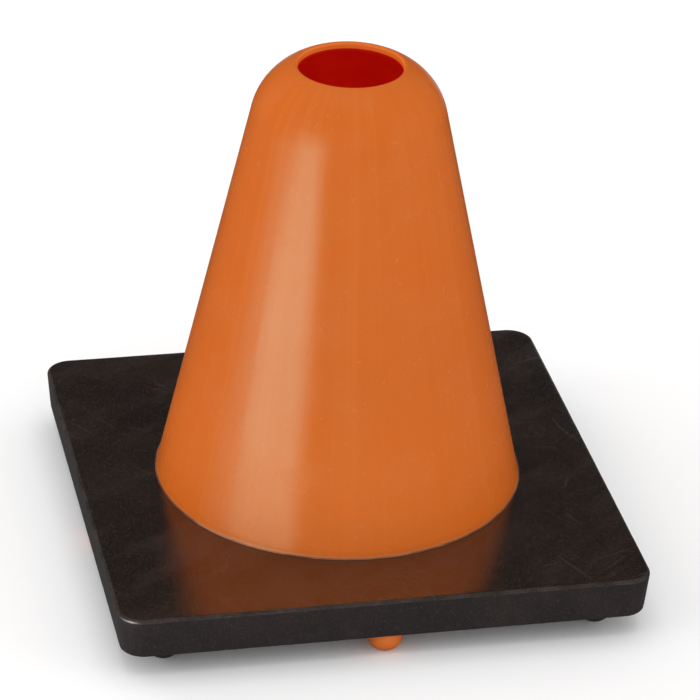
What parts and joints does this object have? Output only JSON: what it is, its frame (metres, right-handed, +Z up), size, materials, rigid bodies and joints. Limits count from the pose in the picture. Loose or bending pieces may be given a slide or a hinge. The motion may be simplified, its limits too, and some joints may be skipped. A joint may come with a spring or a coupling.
{
  "type": "traffic cone",
  "caption": "Small hollow traffic cone with a rounded top, a hole at the tip and a square flat base on low feet.",
  "frame": {"origin": "on the ground, at the centre of the square base, under the cone's axis", "axes": "+Z up along the cone's axis, -Y towards the front edge of the base, +X to the right"},
  "size_m": [0.1568, 0.1568, 0.1524],
  "materials": {
    "cone_vinyl": "gloss",
    "base_vinyl": "satin"
  },
  "bodies": {
    "root": {"cone_shell": "cone_vinyl", "cone_neck": "cone_vinyl", "lock_ring": "cone_vinyl", "lock_arm_front": "cone_vinyl", "lock_arm_right": "cone_vinyl", "lock_arm_back": "cone_vinyl", "lock_arm_left": "cone_vinyl", "edge_foot_front": "cone_vinyl", "edge_foot_right": "cone_vinyl", "edge_foot_back": "cone_vinyl", "edge_foot_left": "cone_vinyl", "base_slab": "base_vinyl", "corner_foot_front_left": "base_vinyl", "corner_foot_front_right": "base_vinyl", "corner_foot_back_left": "base_vinyl", "corner_foot_back_right": "base_vinyl"}
  },
  "joints": []
}
